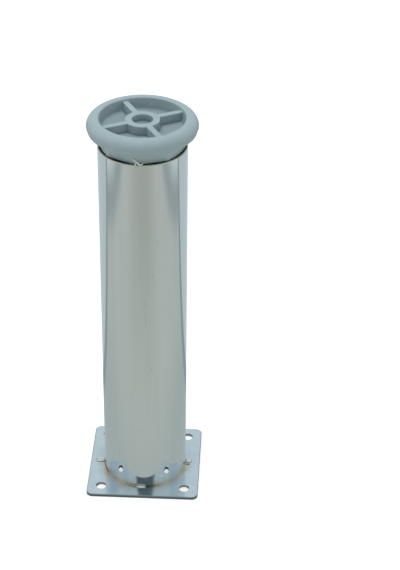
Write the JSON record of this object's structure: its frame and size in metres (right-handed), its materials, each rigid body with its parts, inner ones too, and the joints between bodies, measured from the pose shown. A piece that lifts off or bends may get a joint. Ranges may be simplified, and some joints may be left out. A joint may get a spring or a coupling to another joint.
{
  "type": "adjustable cabinet leg",
  "caption": "Tubular steel furniture leg with a square screw-on mounting plate at one end and a round plastic levelling foot that screws in and out at the other.",
  "frame": {"origin": "centre of the mounting plate's outer face, on the tube's axis, with the leg standing on the plate and the foot up", "axes": "+Z along the tube from the mounting plate to the foot, +X and +Y along the plate's sides"},
  "size_m": [0.056, 0.056, 0.2],
  "materials": {
    "plated_plate": "bright zinc plating",
    "plated_tube": "bright plating with a faint vertical grain",
    "weld_metal": "plated weld lump",
    "fastener_steel": "zinc plated",
    "grey_plastic": "matt moulded"
  },
  "bodies": {
    "leg": {"mounting_plate": "plated_plate", "leg_tube": "plated_tube", "weld_tacks": "weld_metal", "tube_plug": "grey_plastic", "plug_nut": "fastener_steel"},
    "stud": {"foot_stud": "fastener_steel"},
    "foot": {"foot": "grey_plastic"}
  },
  "joints": [
    {"name": "foot_rise", "type": "slide", "parent": "leg", "child": "stud", "axis": [0, 0, 1], "range_m": [0, 0.02]},
    {"name": "foot_turn", "type": "hinge", "parent": "stud", "child": "foot", "pos_m": [0, 0, 0.2], "axis": [0, 0, 1], "range_deg": [0, 4800]}
  ],
  "couplings": [
    {"joint": "foot_rise", "follows": "foot_turn", "m_per_rad": 0.00023873}
  ]
}
